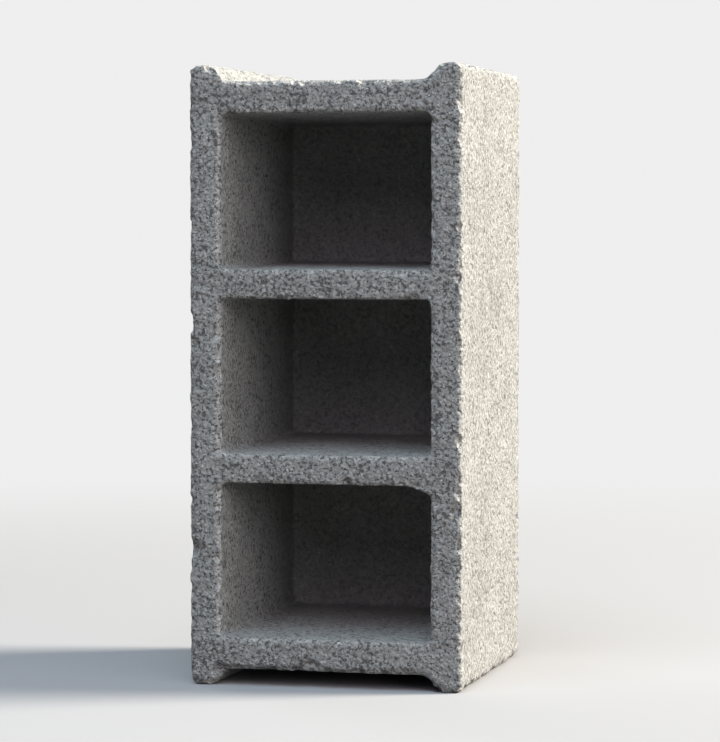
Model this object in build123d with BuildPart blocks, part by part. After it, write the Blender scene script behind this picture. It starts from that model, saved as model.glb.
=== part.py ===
from build123d import *

import os
from math import atan2, degrees

# Hollow concrete block with three blind cells, standing on one end. Millimetres, +Z up, origin at the middle
# of the foot. X runs from shell to shell, Y from the open bed at the front to the closed bed at the back, and
# Z along the block, from the end that it stands on to the other end.

# Overall size
length = 400.0  # end to end, upright here
width = 180.0  # over the two face shells, the thickness of a wall laid with it
height = 190.0  # open bed to closed bed, one course without its mortar

# Concrete between and around the cells, measured on the open bed, where it is thinnest
face_shell = 21.0
end_web = 21.0  # between an end cell and the floor of the mortar groove
inner_web = 19.0
bed_slab = 20.0  # closes the cells at the back
cell_count = 3

# Cells, the print of the mould's cores
core_draft = 1.0  # degrees, on all four walls
core_round = 2.5  # the long edges of a core and the edges of its tip

# Mortar groove down the middle of each end, between two ears
groove_depth = 10.5
ear_width = 15.0  # end face of an ear at the open bed
ear_growth = 7.0  # an ear is this much wider at the closed bed
flank_run = 9.0  # sideways run of the slope from an ear down to the groove's floor

# Rounded edges
groove_round = 3.0  # corner between slope and floor of a groove
ear_round = 4.0  # inner edge of an ear
mould_corner = 3.0  # outer corners of the ends
bed_arris = 1.2  # outline of the two beds

cell_depth = height - bed_slab
cell_width = width - 2 * face_shell
cell_length = (length - 2 * (groove_depth + end_web) - (cell_count - 1) * inner_web) / cell_count
mouth_half = width / 2 - ear_width  # half a groove's width on the open bed
flank_angle = degrees(atan2(flank_run, groove_depth))

open_bed = Plane(origin=(0, -height / 2, length / 2), x_dir=(1, 0, 0), z_dir=(0, -1, 0))
foot = Plane.XY
top = Plane(origin=(0, 0, length), x_dir=(-1, 0, 0), z_dir=(0, 0, -1))

with BuildPart() as hollow_block:
    # Body between the two beds
    with BuildSketch(open_bed):
        Rectangle(width, length)
    extrude(amount=-height)

    # Mortar grooves, wider at the open bed, cut by a wedge that runs on past both beds by half a height
    with BuildSketch(foot, top):
        with BuildLine():
            front_corner = (mouth_half + 0.5 * ear_growth, -height)
            back_corner = (mouth_half - 1.5 * ear_growth, height)
            wedge_side = Line(front_corner, back_corner)
            mirror(wedge_side, about=Plane.YZ)
            Line(front_corner, (-front_corner[0], -height))
            Line(back_corner, (-back_corner[0], height))
        make_face()
    extrude(amount=groove_depth, taper=flank_angle, mode=Mode.SUBTRACT)

    # Edges from bed to bed, taken from the middle of the block outwards, and then the beds' outlines
    bed_to_bed = hollow_block.edges().filter_by(lambda edge: edge.bounding_box().size.Y > height / 2)
    for edges, radius in zip(
        bed_to_bed.group_by(lambda edge: abs(edge.center().X)),
        (groove_round, ear_round, mould_corner),
    ):
        fillet(edges, radius)
    fillet(hollow_block.faces().filter_by(Axis.Y).edges(), bed_arris)

    # Cells, narrowing from the open bed to their bottoms
    with BuildSketch(open_bed):
        with GridLocations(cell_width, cell_length + inner_web, 1, cell_count):
            Rectangle(cell_width, cell_length)
    extrude(amount=-cell_depth, taper=core_draft, mode=Mode.SUBTRACT)
    mouth_edges, long_edges, tip_edges = hollow_block.edges(Select.LAST).group_by(Axis.Y)
    fillet(long_edges + tip_edges, core_round)

hollow_block.part.label = "hollow_block"

os.makedirs("parts", exist_ok=True)
export_step(hollow_block.part, "parts/hollow_block.step")
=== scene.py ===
from itertools import product
from math import radians

import bpy
import numpy as np
from mathutils.kdtree import KDTree
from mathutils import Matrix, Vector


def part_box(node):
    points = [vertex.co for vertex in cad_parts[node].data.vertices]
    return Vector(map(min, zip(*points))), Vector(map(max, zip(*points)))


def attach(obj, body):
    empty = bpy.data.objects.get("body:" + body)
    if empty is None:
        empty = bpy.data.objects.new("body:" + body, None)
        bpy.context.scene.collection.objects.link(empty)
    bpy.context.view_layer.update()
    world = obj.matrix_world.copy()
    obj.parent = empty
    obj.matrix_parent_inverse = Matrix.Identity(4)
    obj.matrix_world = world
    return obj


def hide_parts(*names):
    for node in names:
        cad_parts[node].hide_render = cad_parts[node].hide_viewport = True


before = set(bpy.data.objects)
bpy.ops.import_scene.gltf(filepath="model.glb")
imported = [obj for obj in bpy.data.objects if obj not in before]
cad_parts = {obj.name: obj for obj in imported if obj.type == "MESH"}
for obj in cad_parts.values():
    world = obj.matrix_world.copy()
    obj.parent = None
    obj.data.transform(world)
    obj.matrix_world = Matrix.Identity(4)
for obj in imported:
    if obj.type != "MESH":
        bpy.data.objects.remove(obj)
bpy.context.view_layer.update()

blockLow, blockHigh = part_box("hollow_block")
blockMiddle = (blockLow + blockHigh) / 2
blockSize = blockHigh - blockLow
mm = 0.001

# Camera

cameraSettings = {
    "place": (0.516, -2.063, 0.296),  # metres from the middle of the foot
    "fill": 600 / 742,  # share of the picture's height that the block takes
    "sensor": 36,  # millimetres
}


def aimAtBlock(thing):  # turns a camera or lamp to the block's middle and gives its distance
    gaze = blockMiddle - thing.location
    thing.rotation_euler = gaze.to_track_quat("-Z", "Y").to_euler()
    return gaze.length


def makeCamera(settings):
    data = bpy.data.cameras.new("camera")
    camera = bpy.data.objects.new("camera", data)
    bpy.context.scene.collection.objects.link(camera)
    camera.location = settings["place"]
    distance = aimAtBlock(camera)
    pictureHeight = blockSize.z / settings["fill"]  # what the picture takes in at the block's distance
    data.sensor_width = settings["sensor"]
    data.lens = settings["sensor"] * distance / pictureHeight
    bpy.context.scene.camera = camera


makeCamera(cameraSettings)
print("camera set")

# Shader nodes


class Socket:  # a shader socket that takes part in Python expressions
    def __init__(self, board, link):
        self.board, self.link = board, link

    def maths(self, operation, *values):
        return self.board.node("ShaderNodeMath", {"operation": operation}, dict(enumerate(values)))

    def __add__(self, other):
        return self.maths("ADD", self, other)

    def __sub__(self, other):
        return self.maths("SUBTRACT", self, other)

    def __mul__(self, other):
        return self.maths("MULTIPLY", self, other)

    def __radd__(self, other):
        return self.maths("ADD", other, self)

    def __rsub__(self, other):
        return self.maths("SUBTRACT", other, self)

    def __rmul__(self, other):
        return self.maths("MULTIPLY", other, self)

    def abs(self):
        return self.maths("ABSOLUTE", self)

    def max(self, other):
        return self.maths("MAXIMUM", self, other)

    def ramp(self, start, end, low=0.0, high=1.0):  # smooth step from low at start to high at end
        return self.board.node(
            "ShaderNodeMapRange",
            {"interpolation_type": "SMOOTHSTEP"},
            {"Value": self, "From Min": start, "From Max": end, "To Min": low, "To Max": high},
        )

    def other(self, name):  # another output of the same node
        return Socket(self.board, self.link.node.outputs[name])

    def pick(self):  # a random number for each cell of a cell texture
        return self.board.node("ShaderNodeSeparateColor", None, {0: self.other("Color")})


class Board:  # the node tree of one material or of the world
    def __init__(self, owner):
        owner.use_nodes = True
        self.tree = owner.node_tree
        self.tree.nodes.clear()

    def node(self, kind, settings=None, sockets=None, out=0):
        made = self.tree.nodes.new(kind)
        for name, value in (settings or {}).items():
            if name == "stops":
                self.setStops(made.color_ramp, value)
            else:
                setattr(made, name, value)
        for name, value in (sockets or {}).items():
            socket = made.inputs[name]
            if isinstance(value, Socket):
                self.tree.links.new(value.link, socket)
            else:
                socket.default_value = value
        return Socket(self, made.outputs[out]) if made.outputs else made

    def setStops(self, ramp, stops):
        while len(ramp.elements) < len(stops):
            ramp.elements.new(1.0)
        for element, (position, colour) in zip(ramp.elements, stops):
            element.position = position
            element.color = solid(colour)

    def mixColour(self, factor, first, second):
        return self.node("ShaderNodeMix", {"data_type": "RGBA"}, {0: factor, 6: first, 7: second}, 2)

    def vector(self, operation, first, second):
        keys = {0: first, "Scale": second} if operation == "SCALE" else {0: first, 1: second}
        return self.node("ShaderNodeVectorMath", {"operation": operation}, keys)

    def axes(self, vector):  # its X, Y and Z
        split = self.node("ShaderNodeSeparateXYZ", None, {0: vector})
        return [split.other(name) for name in "XYZ"]

    def noise(self, vector, size, detail, roughness):
        sockets = {"Vector": vector, "Scale": 1 / size, "Detail": detail, "Roughness": roughness}
        return self.node("ShaderNodeTexNoise", None, sockets)

    def cells(self, vector, size):  # distance to the middle of the nearest cell, in cell sizes
        return self.node("ShaderNodeTexVoronoi", None, {"Vector": vector, "Scale": 1 / size}, "Distance")

    def seen(self):  # 1 for what the camera sees, straight or by way of a mirror or glass
        ray = self.node("ShaderNodeLightPath", out="Is Camera Ray")
        return ray.max(ray.other("Is Glossy Ray")).max(ray.other("Is Transmission Ray"))


def solid(colour):
    return (*colour, 1.0)


# Floor, backdrop and light

stageSettings = {
    "colour": (0.4075, 0.402, 0.408),
    "bounce": (0.14, 0.14, 0.14),  # what the floor sends back to the block
    "reach": 6.0,  # half the floor's width, and the backdrop's height
    "back": 3.0,  # from the block to the start of the bend
    "bend": 1.6,  # radius where floor turns up into backdrop
    "bendSteps": 24,
    "skyColour": (0.81, 0.84, 0.99),
    "sky": 0.18,
    "white": 0.86,  # far floor, backdrop and what lies beyond, as the camera sees them
    "fade": (0.45, 1.7),  # distance from the block over which the floor turns plain white
    "lamps": {
        "key": {"place": (6.42, 2.09, 4.39), "size": 2.8, "power": 1500, "colour": (1.0, 0.94, 0.83)},
        "top": {"place": (-0.36, -2.52, 5.06), "size": 4.0, "power": 178, "colour": (0.62, 0.86, 1.0)},
        "front": {"place": (0.54, -4.68, 3.44), "size": 4.0, "power": 98, "colour": (0.92, 0.83, 0.93)},
        "mouth": {"place": (3.78, -3.6, 1.46), "size": 2.9, "power": 66, "colour": (0.92, 0.91, 0.95)},
        "side": {"place": (4.68, -1.62, 1.46), "size": 2.9, "power": 50, "colour": (1.0, 0.94, 0.82)},
        "back": {"place": (-4.32, 3.96, 3.26), "size": 3.6, "power": 110, "colour": (1.0, 1.0, 1.0)},
    },
}


def makeFloorPaint(settings):
    material = bpy.data.materials.new("floorPaint")
    board = Board(material)
    place = board.node("ShaderNodeTexCoord", out="Object")
    distance = board.node("ShaderNodeVectorMath", {"operation": "LENGTH"}, {0: place}, "Value")
    seen = board.seen()
    paint = board.mixColour(seen, solid(settings["bounce"]), solid(settings["colour"]))
    matt = board.node("ShaderNodeBsdfDiffuse", None, {"Color": paint})
    plain = board.node("ShaderNodeEmission", None, {"Color": solid([settings["white"]] * 3)})
    far = seen * distance.ramp(*settings["fade"])
    surface = board.node("ShaderNodeMixShader", None, {0: far, 1: matt, 2: plain})
    board.node("ShaderNodeOutputMaterial", None, {"Surface": surface})
    return material


def makeFloor(settings):  # one sheet that bends up into the backdrop
    reach, bend, back = settings["reach"], settings["bend"], settings["back"]
    profile = [(-reach, 0.0), (back, 0.0)]
    for step in range(1, settings["bendSteps"] + 1):
        turn = radians(90 * step / settings["bendSteps"])
        profile.append((back + bend * np.sin(turn), bend * (1 - np.cos(turn))))
    profile.append((back + bend, reach))
    points = [(side, y, z) for y, z in profile for side in (-reach, reach)]
    faces = [(i, i + 1, i + 3, i + 2) for i in range(0, len(points) - 2, 2)]
    mesh = bpy.data.meshes.new("floor")
    mesh.from_pydata(points, [], faces)
    mesh.polygons.foreach_set("use_smooth", [True] * len(faces))
    floor = bpy.data.objects.new("floor", mesh)
    bpy.context.scene.collection.objects.link(floor)
    mesh.materials.append(makeFloorPaint(settings))


def makeWorld(settings):
    world = bpy.data.worlds.new("studio")
    bpy.context.scene.world = world
    board = Board(world)
    sky = board.node(
        "ShaderNodeBackground", None, {"Color": solid(settings["skyColour"]), "Strength": settings["sky"]}
    )
    white = board.node("ShaderNodeBackground", None, {"Color": solid([settings["white"]] * 3)})
    both = board.node("ShaderNodeMixShader", None, {0: board.seen(), 1: sky, 2: white})
    board.node("ShaderNodeOutputWorld", None, {"Surface": both})


def makeLamps(lamps):
    for name, lamp in lamps.items():
        data = bpy.data.lights.new(name, "AREA")
        data.shape = "DISK"
        data.size = lamp["size"]
        data.energy = lamp["power"]
        data.color = lamp["colour"]
        light = bpy.data.objects.new(name, data)
        light.location = lamp["place"]
        aimAtBlock(light)
        light.visible_camera = False
        bpy.context.scene.collection.objects.link(light)


makeFloor(stageSettings)
makeWorld(stageSettings)
makeLamps(stageSettings["lamps"])
bpy.context.scene.view_settings.view_transform = "Standard"
print("stage and lamps set")

# Concrete

concreteSettings = {
    "paste": (0.365, 0.360, 0.346),  # cement that coats everything
    "dust": (0.50, 0.49, 0.465),  # on rubbed arrises and in scrapes
    # painted shade in the gaps and pits between the grains
    "voidShade": (0.060, 0.060, 0.062),
    "sands": (  # a sand grain's random number, and the colour that it gives
        (0.0, (0.15, 0.15, 0.152)),
        (0.07, (0.27, 0.267, 0.26)),
        (0.16, (0.35, 0.345, 0.33)),
        (0.84, (0.385, 0.38, 0.365)),
        (0.94, (0.47, 0.455, 0.42)),
        (1.0, (0.60, 0.59, 0.56)),
    ),
    "cells": {  # millimetres across
        "grain": 2.6,
        "sand": 1.1,
        "pebble": 7.0,
        "pit": 4.16,
        "pin": 1.9,
    },
    "noises": {  # millimetres across, detail and roughness
        "mottle": (42.0, 3.0, 0.55),
        "openness": (16.8, 2.0, 0.5),  # where the face is open and coarse
        "patch": (13.0, 2.0, 0.5),
        "clump": (4.5, 2.0, 0.5),
        "fine": (0.8, 2.0, 0.6),
        "streak": (1.8, 2.0, 0.6),
        "shake": (2.0, 2.0, 0.5),
        "gap": (2.6, 3.0, 0.62),
        "smallGap": (1.25, 2.0, 0.6),
        "damp": (95.0, 3.0, 0.6),
        "scrape": (9.0, 3.0, 0.65),
        "scrapePatch": (60.0, 1.0, 0.5),
    },
    "regions": {  # millimetres from the block's middle between which a region fades in
        "width": (74, 72),
        "length": (174, 172),
        "mouth": (-94.6, -93),
        "bottom": (82, 80),
        "deep": (0, 74),
        "bedFacing": (0.5, 0.9),  # share of the normal that points out of a bed
    },
    "masks": {  # values of a pattern where its mask is 0 and 1, or the two shares that follow them
        "openness": (0.34, 0.66),
        "dome": (0.85, 0.05),
        "pebble": (0.46, 0.14),
        "pebblePick": (0.60, 0.78),
        "gap": (0.595, 0.645),
        "smallGap": (0.655, 0.70),
        "pitPick": (0.80, 1.0, 0.0, 0.40),
        "pitOpenness": (0.0, 1.0, 0.5, 1.0),
        "pit": (-0.03, 0.07),
        "pinPick": (0.70, 1.0, 0.0, 0.36),
        "pin": (-0.05, 0.10),
        "damp": (0.35, 0.65),
        "scrape": (0.60, 0.72),
        "scrapePatch": (0.5, 0.62),
        "scrapeClump": (0.3, 0.6),
        "bared": (0.62, 0.42),
        "baredClump": (0.36, 0.60, 0.25, 0.9),
        "wear": (0.15, 0.9, 0.0, 0.6),
        "wearClump": (0.25, 0.6, 0.4, 1.0),
    },
    "shake": 1.3,  # how far the outlines of the grains are bent, in millimetres
    "slant": {"Rotation": (0.7, 0.5, 0.3), "Scale": (1, 0.16, 1)},  # of the scrapes
    "drag": (1.0, 0.035, 1.0),  # stretches the lines that the mould drags from bed to bed
    "gapGrain": 0.14,  # how much likelier a gap is at the edge of a grain
    "gapOpenness": 0.05,  # and where the face is open
    "smallGapClump": 0.12,
    "smallGapDepth": 0.8,
    "pebbleCover": 0.8,  # share of the voids that a pebble fills
    "tones": {  # how far each pattern swings the brightness
        "mottle": 0.24,
        "fine": 0.34,
        "streak": 0.10,
        "clump": 0.50,
        "patch": 0.26,
        # painted shade: darker where the grains' domes fall away between them
        "dome": 0.16,
        "grainPick": 0.12,
    },
    "pebbleTone": 0.06,
    "deepCalm": 0.45,  # how much of the swing is lost at the bottom of a cell
    "brightness": 1.04,
    "damp": 0.13,  # how much darker the middle of a face is
    "deepShade": 0.24,  # painted shade: how much darker the bottom of a cell is
    "open": 0.20,  # how much darker the beds are than the faces that the mould closed
    "scuff": 0.35,  # share of dust in the pale scrapes
    "darkness": {"everywhere": 0.52, "bed": 0.26, "cored": 0.24, "deep": -0.46},  # how strong the painted shade in the voids is, in each region
    "roughness": 0.93,
    "voidRoughness": 0.05,  # added in voids
    "sandSheen": 0.08,  # taken off bared sand
    "specular": 0.35,
    "heights": {  # millimetres
        "dome": 0.35,
        "domePick": 0.5,  # how much more the tallest grains stand out
        "sand": 0.22,
        "fine": 0.15,
        "clump": 0.8,
        "pebble": 0.7,
        "hollow": 1.2,
        "streak": 0.12,
    },
    "relief": {"everywhere": 0.70, "bed": 0.40, "cored": 0.20, "deep": -0.50},  # strength of the heights
}


def findRegions(board, place, limits):
    x, y, z = board.axes(place)
    fromMiddle = (z - blockMiddle.z / mm).abs()
    cored = x.abs().ramp(*limits["width"]) * y.ramp(*limits["mouth"]) * y.ramp(*limits["bottom"])
    cored = cored * fromMiddle.ramp(*limits["length"])  # walls that the cores shaped
    normal = board.node("ShaderNodeNewGeometry", out="Normal")
    bed = board.axes(normal)[1].abs().ramp(*limits["bedFacing"]) * (1.0 - cored)
    return {"bed": bed, "cored": cored, "deep": cored * y.ramp(*limits["deep"])}


def strengthIn(regions, shares):  # the share that holds everywhere, changed in each region
    strength = shares["everywhere"]
    for name, region in regions.items():
        strength = strength + region * shares[name]
    return strength


def makeNoises(board, place, settings):
    noises = {}
    for name in ("mottle", "openness", "patch", "clump", "fine"):
        noises[name] = board.noise(place, *settings["noises"][name])
    noises["openness"] = noises["openness"].ramp(*settings["masks"]["openness"])
    dragged = board.vector("MULTIPLY", place, settings["drag"])
    noises["streak"] = board.noise(dragged, *settings["noises"]["streak"])
    return noises


def makeGrains(board, bent, settings):  # gravel under its coat of paste, and sand
    sizes, masks = settings["cells"], settings["masks"]
    grain = board.cells(bent, sizes["grain"])
    pebble = board.cells(bent, sizes["pebble"])
    return {
        "grain": grain,
        "grainPick": grain.pick(),
        "dome": grain.ramp(*masks["dome"]),
        "pebble": pebble.ramp(*masks["pebble"]) * pebble.pick().ramp(*masks["pebblePick"]),
        "sand": board.cells(bent, sizes["sand"]),
    }


def makeGaps(board, bent, patterns, settings):  # paste is missing between the grains first
    masks = settings["masks"]
    gap = board.noise(bent, *settings["noises"]["gap"]) + (patterns["grain"] - 0.5) * settings["gapGrain"]
    gap = gap + patterns["openness"] * settings["gapOpenness"]
    small = board.noise(bent, *settings["noises"]["smallGap"])
    small = small + patterns["clump"] * settings["smallGapClump"]
    return gap.ramp(*masks["gap"]).max(small.ramp(*masks["smallGap"]) * settings["smallGapDepth"])


def makePits(board, place, bent, openness, settings):
    sizes, masks = settings["cells"], settings["masks"]
    pit = board.cells(bent, sizes["pit"])
    pitRadius = pit.pick().ramp(*masks["pitPick"]) * openness.ramp(*masks["pitOpenness"])
    pin = board.cells(place, sizes["pin"])
    pinRadius = pin.pick().ramp(*masks["pinPick"])
    return (pitRadius - pit).ramp(*masks["pit"]).max((pinRadius - pin).ramp(*masks["pin"]))


def makeDamp(board, place, settings):  # the middle of each face dries last
    y, z = board.axes(place)[1:]
    across = y * (2 * mm / blockSize.y)  # from -1 at one bed to 1 at the other
    along = ((z - blockMiddle.z / mm) * (2 * mm / blockSize.z)).abs()  # 1 at the ends
    rim = (across * across).max(along * along * along)
    cloud = board.noise(place, *settings["noises"]["damp"])
    return (1.0 - rim) * cloud.ramp(*settings["masks"]["damp"])


def makeScrapes(board, place, settings):  # pale marks of handling, slanted across the faces
    noises, masks = settings["noises"], settings["masks"]
    turned = {"Vector": place, **settings["slant"]}
    slanted = board.node("ShaderNodeMapping", {"vector_type": "POINT"}, turned)
    scrape = board.noise(slanted, *noises["scrape"]).ramp(*masks["scrape"])
    return scrape * board.noise(place, *noises["scrapePatch"]).ramp(*masks["scrapePatch"])


def makeTone(regions, patterns, damp, settings):  # brightness, which multiplies the colour, with painted shade between the grains and at the bottom of the cells
    tone = patterns["pebble"] * settings["pebbleTone"]
    for name, share in settings["tones"].items():
        tone = tone + (patterns[name] - 0.5) * share
    tone = tone * (1.0 - regions["deep"] * settings["deepCalm"]) + settings["brightness"]
    tone = tone - damp * settings["damp"] - regions["bed"] * settings["open"]
    # painted shade at the bottom of the cells
    return tone - regions["deep"] * settings["deepShade"]


def makeDust(board, scrapes, clump, settings):
    masks = settings["masks"]
    wear = board.node("ShaderNodeAttribute", {"attribute_name": "wear"}, None, "Fac")
    worn = wear.ramp(*masks["wear"]) * clump.ramp(*masks["wearClump"])
    return worn.max(scrapes * settings["scuff"] * clump.ramp(*masks["scrapeClump"]))


def makeRelief(regions, patterns, hollow, settings):  # millimetres
    heights = settings["heights"]
    relief = patterns["dome"] * (heights["dome"] + patterns["grainPick"] * heights["domePick"])
    relief = relief + (1.0 - patterns["sand"]) * heights["sand"]
    for name in ("fine", "clump", "pebble"):
        relief = relief + patterns[name] * heights[name]
    relief = (relief - hollow * heights["hollow"]) * strengthIn(regions, settings["relief"])
    return relief + patterns["streak"] * heights["streak"] * (1.0 - regions["bed"])


def makeConcrete(settings):
    material = bpy.data.materials.new("castConcrete")
    board = Board(material)
    place = board.vector("SCALE", board.node("ShaderNodeTexCoord", out="Object"), 1 / mm)  # millimetres
    shake = board.noise(place, *settings["noises"]["shake"]).other("Color")
    bent = board.vector("ADD", place, board.vector("SCALE", shake, settings["shake"]))
    regions = findRegions(board, place, settings["regions"])
    patterns = {**makeNoises(board, place, settings), **makeGrains(board, bent, settings)}
    clump, sand = patterns["clump"], patterns["sand"]
    hollow = makeGaps(board, bent, patterns, settings)
    hollow = hollow.max(makePits(board, place, bent, patterns["openness"], settings))
    hollow = hollow * (1.0 - patterns["pebble"] * settings["pebbleCover"])
    damp = makeDamp(board, place, settings)
    scrapes = makeScrapes(board, place, settings)

    # Sand shows where the paste is thin, dust lies over both, and the voids get painted shade
    speck = board.node("ShaderNodeValToRGB", {"stops": settings["sands"]}, {0: sand.pick()})
    bared = sand.ramp(*settings["masks"]["bared"]) * clump.ramp(*settings["masks"]["baredClump"])
    colour = board.mixColour(bared, solid(settings["paste"]), speck)
    dusty = makeDust(board, scrapes, clump, settings)
    colour = board.mixColour(dusty, colour, solid(settings["dust"]))
    colour = board.vector("SCALE", colour, makeTone(regions, patterns, damp, settings))
    # painted shade laid into the voids
    dark = hollow * strengthIn(regions, settings["darkness"])
    colour = board.mixColour(dark, colour, solid(settings["voidShade"]))

    roughness = hollow * settings["voidRoughness"] + settings["roughness"] - bared * settings["sandSheen"]
    relief = makeRelief(regions, patterns, hollow, settings)
    bump = board.node("ShaderNodeBump", None, {"Strength": 1.0, "Distance": mm, "Height": relief})
    surface = board.node("ShaderNodeBsdfPrincipled", None, {
        "Base Color": colour,
        "Roughness": roughness,
        "Normal": bump,
        "Specular IOR Level": settings["specular"],
    })
    board.node("ShaderNodeOutputMaterial", None, {"Surface": surface})
    return material


# Block

blockSettings = {
    "voxel": 1.25 * mm,
    "skin": 1.1 * mm,  # voxel of the second skin
    "triangles": 196000,
    "seed": 11,
    "softRounds": 8,  # smoothing passes that find the arrises
    "arrisPull": 0.5 * mm,  # a point that the smoothing pulls in this far is on an arris
    # Layers of noise, each with its size, share and seed, and what is added to their sum
    "rub": {"layers": ((22 * mm, 0.6, 1), (7 * mm, 0.4, 2)), "bias": 0.35},
    "grit": {"layers": ((3.2 * mm, 0.9, 3), (6.5 * mm, 0.6, 4), (13 * mm, 0.5, 7)), "bias": 0.4},
    "waves": {"layers": ((12 * mm, 0.4, 5), (5.5 * mm, 0.6, 6)), "bias": 0.6},
    "openness": {"layers": ((45 * mm, 1.0, 8),), "bias": 0.45},
    "crumble": 2.4 * mm,
    "mouthCrumble": 3.0 * mm,  # around the mouths of the cells
    "mouths": {"width": 152 * mm, "length": 352 * mm},  # the three mouths and their rims together
    "ripple": 0.25 * mm,
    "bedRipple": 0.80 * mm,  # the open texture of the beds
    "bed": {"facing": 0.7, "place": 0.45},  # least share of the normal, and of the block from its middle
    "cells": {"place": 0.4, "depth": 25 * mm},  # most share of the block from its middle, and least depth
    "cellPits": 0.1,  # how common pits are in the cells
    "fewestPits": 0.05,  # how common they are on the most closed parts of the faces
    "faceArris": 0.2,  # a point less on an arris than this is on a face
    "chips": {"count": 1100, "radius": (1.4 * mm, 4.5 * mm), "sink": (0.25, 0.6)},
    "bigChips": {"count": 9, "radius": (6.0 * mm, 10.0 * mm), "sink": (0.25, 0.45)},
    "pits": {"count": 2600, "radius": (1.3 * mm, 3.2 * mm), "sink": (0.35, 0.75)},
    "sag": {  # concrete that slumped into the upper right corner of the lowest cell's mouth
        "corner": (69.0 * mm, -95.0 * mm, 131.2 * mm),
        "run": 16.0 * mm,
        "drop": 5.2 * mm,
        "depth": 34.0 * mm,
        "spread": 15.0 * mm,
    },
}


def latticeNoise(points, size, seed):  # smooth noise from -1 to 1, with size in metres
    side = 64  # a power of two, after which the noise repeats
    table = np.random.default_rng(seed).uniform(-1, 1, (side, side, side))
    scaled = points / size
    low = np.floor(scaled).astype(int)
    part = scaled - low
    part = part * part * (3 - 2 * part)
    total = np.zeros(len(points))
    for corner in product((0, 1), repeat=3):
        weight = np.prod(np.where(corner, part, 1 - part), axis=1)
        x, y, z = ((low + corner) & (side - 1)).T
        total += weight * table[x, y, z]
    return total


def layeredNoise(points, settings):
    total = np.zeros(len(points))
    for size, share, seed in settings["layers"]:
        total += latticeNoise(points, size, seed) * share
    return total + settings["bias"]


def evaluated(source, name):  # a new mesh with the object's modifiers applied
    depsgraph = bpy.context.evaluated_depsgraph_get()
    mesh = bpy.data.meshes.new_from_object(source.evaluated_get(depsgraph))
    mesh.name = name
    return mesh


def readVectors(collection, name):
    values = np.empty(len(collection) * 3)
    collection.foreach_get(name, values)
    return values.reshape(-1, 3)


def readEdges(mesh):
    edges = np.empty(len(mesh.edges) * 2, int)
    mesh.edges.foreach_get("vertices", edges)
    return edges.reshape(-1, 2)


def treeOf(points):
    tree = KDTree(len(points))
    for index, point in enumerate(points):
        tree.insert(point, index)
    tree.balance()
    return tree


def insideMould(mesh, points):  # writes the points, with none outside the block's box
    points = np.clip(points, np.array(blockLow), np.array(blockHigh))
    mesh.vertices.foreach_set("co", points.ravel())
    mesh.update()
    return points


def slump(points, settings):  # how far each point hangs down in the corner of the mouth
    x, y, z = (points - np.array(settings["corner"])).T
    run = settings["run"]
    across = np.where(x < 0, 1 + x / run, 1 - 2 * x / run).clip(0, 1)  # half as far into the wall
    inward = (1 - y / settings["depth"]).clip(0, 1)
    near = (1 - np.abs(z) / settings["spread"]).clip(0, 1)
    return settings["drop"] * across * inward * near


def soften(points, edges, rounds):  # plain Laplacian smoothing
    hold = 0.4  # how much of its place a point keeps in a pass
    count = np.bincount(edges.ravel(), minlength=len(points))[:, None]
    for _ in range(rounds):
        total = np.zeros_like(points)
        for axis in range(3):
            total[:, axis] = np.bincount(edges[:, 0], points[edges[:, 1], axis], len(points))
            total[:, axis] += np.bincount(edges[:, 1], points[edges[:, 0], axis], len(points))
        points = points * hold + total / count * (1 - hold)
    return points


def rubArrises(points, normals, edges, settings):  # gives how much each point is on an arris, 0 to 1
    pull = soften(points, edges, settings["softRounds"]) - points
    inward = -(pull * normals).sum(axis=1)
    share = layeredNoise(points, settings["rub"]).clip(0, 1)
    points += pull * (share * (inward > 0))[:, None]
    return np.clip(inward / settings["arrisPull"], 0, 1)


def crumbleArrises(points, normals, offset, arris, settings):
    mouths = settings["mouths"]
    grit = layeredNoise(points, settings["grit"]).clip(0, 2)
    atMouth = (offset[:, 0] < mouths["width"] / 2) & (offset[:, 2] < mouths["length"] / 2)
    depth = np.where(atMouth & (points[:, 1] < 0), settings["mouthCrumble"], settings["crumble"])
    points -= normals * (arris * grit * depth)[:, None]


def rippleFaces(points, normals, offset, settings):
    bed = settings["bed"]
    waves = layeredNoise(points, settings["waves"])
    onBed = (np.abs(normals[:, 1]) > bed["facing"]) & (offset[:, 1] > bed["place"] * blockSize.y)
    points -= normals * (waves * np.where(onBed, settings["bedRipple"], settings["ripple"]))[:, None]


def scoop(points, normals, weights, rng, settings):  # bites a round hollow at picked points
    reach = 1.3  # how far around the hollow's middle points may move, in radii
    unevenness = 0.22  # of the rim
    lump = 0.7  # size of the rim's lumps, in radii
    rims = 97  # how many different rims there are
    tree = treeOf(points)
    low, high = settings["radius"]
    picked = rng.choice(len(points), settings["count"], replace=False, p=weights / weights.sum())
    for index in picked:
        radius = low + (high - low) * rng.random() ** 2
        centre = points[index] + normals[index] * radius * rng.uniform(*settings["sink"])
        near = np.array([found[1] for found in tree.find_range(centre, radius * reach)], int)
        if not len(near):
            continue
        away = points[near] - centre
        distance = np.linalg.norm(away, axis=1, keepdims=True)
        rim = latticeNoise(points[near], radius * lump, int(index) % rims)[:, None]
        push = away / distance * np.maximum(radius * (1 + unevenness * rim) - distance, 0)
        push[(push * normals[near]).sum(axis=1) > 0] = 0  # what lies across a thin corner stays
        points[near] += push


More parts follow.
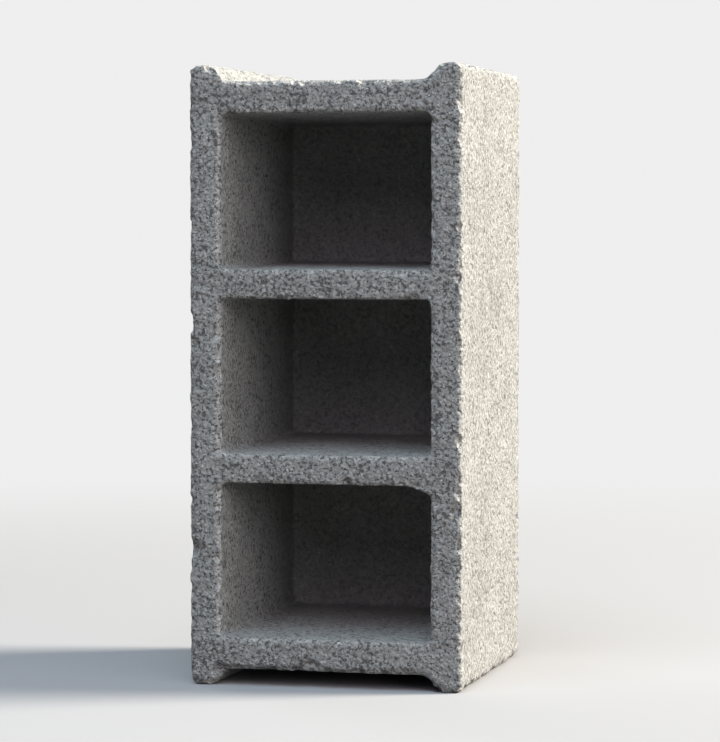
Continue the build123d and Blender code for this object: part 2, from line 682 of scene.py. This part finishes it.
def scoopAll(points, normals, offset, arris, settings):  # chips on the arrises, pits on the faces
    rng = np.random.default_rng(settings["seed"])
    cells = settings["cells"]
    inCell = offset[:, 0] < cells["place"] * blockSize.x
    inCell &= offset[:, 1] < blockSize.y / 2 - cells["depth"]
    leastWeight = 1e-9  # no point is ruled out
    scoop(points, normals, arris ** 2 * ~inCell, rng, settings["bigChips"])
    scoop(points, normals, arris ** 2 + leastWeight, rng, settings["chips"])
    openFace = layeredNoise(points, settings["openness"]).clip(settings["fewestPits"], 1)
    openFace = openFace * (arris < settings["faceArris"]) * np.where(inCell, settings["cellPits"], 1.0)
    scoop(points, normals, openFace, rng, settings["pits"])


def thinned(draft, mesh, triangles):  # each face of a remeshed mesh makes two triangles
    draft.modifiers.clear()
    draft.data = mesh
    draft.modifiers.new("triangles", "TRIANGULATE")
    thin = draft.modifiers.new("thin", "DECIMATE")
    thin.ratio = triangles / (2 * len(mesh.polygons))
    return evaluated(draft, "block")


def wornMesh(settings):
    draft = bpy.data.objects.new("draft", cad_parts["hollow_block"].data.copy())
    bpy.context.scene.collection.objects.link(draft)
    remesh = draft.modifiers.new("remesh", "REMESH")
    remesh.mode = "VOXEL"
    remesh.voxel_size = settings["voxel"]
    fine = evaluated(draft, "fine")
    points = readVectors(fine.vertices, "co")
    normals = readVectors(fine.vertex_normals, "vector")
    print("fine mesh", len(points), "points")

    points[:, 2] -= slump(points, settings["sag"])
    arris = rubArrises(points, normals, readEdges(fine), settings)
    offset = np.abs(points - np.array(blockMiddle))
    crumbleArrises(points, normals, offset, arris, settings)
    rippleFaces(points, normals, offset, settings)
    scoopAll(points, normals, offset, arris, settings)
    tree = treeOf(insideMould(fine, points))
    print("chips and pits made")

    draft.data = fine
    remesh.voxel_size = settings["skin"]  # a second skin leaves out the folds in the crumbled arrises
    final = thinned(draft, evaluated(draft, "skin"), settings["triangles"])
    bpy.data.objects.remove(draft)
    insideMould(final, readVectors(final.vertices, "co"))
    wear = final.attributes.new("wear", "FLOAT", "POINT")
    wear.data.foreach_set("value", [arris[tree.find(vertex.co)[1]] for vertex in final.vertices])
    return final


def makeBlock(settings):
    mesh = wornMesh(settings)
    mesh.polygons.foreach_set("use_smooth", [True] * len(mesh.polygons))
    mesh.materials.clear()
    mesh.materials.append(makeConcrete(concreteSettings))
    block = bpy.data.objects.new("concrete_block", mesh)
    bpy.context.scene.collection.objects.link(block)
    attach(block, "root")
    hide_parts("hollow_block")
    print("block", len(mesh.polygons), "triangles")


makeBlock(blockSettings)
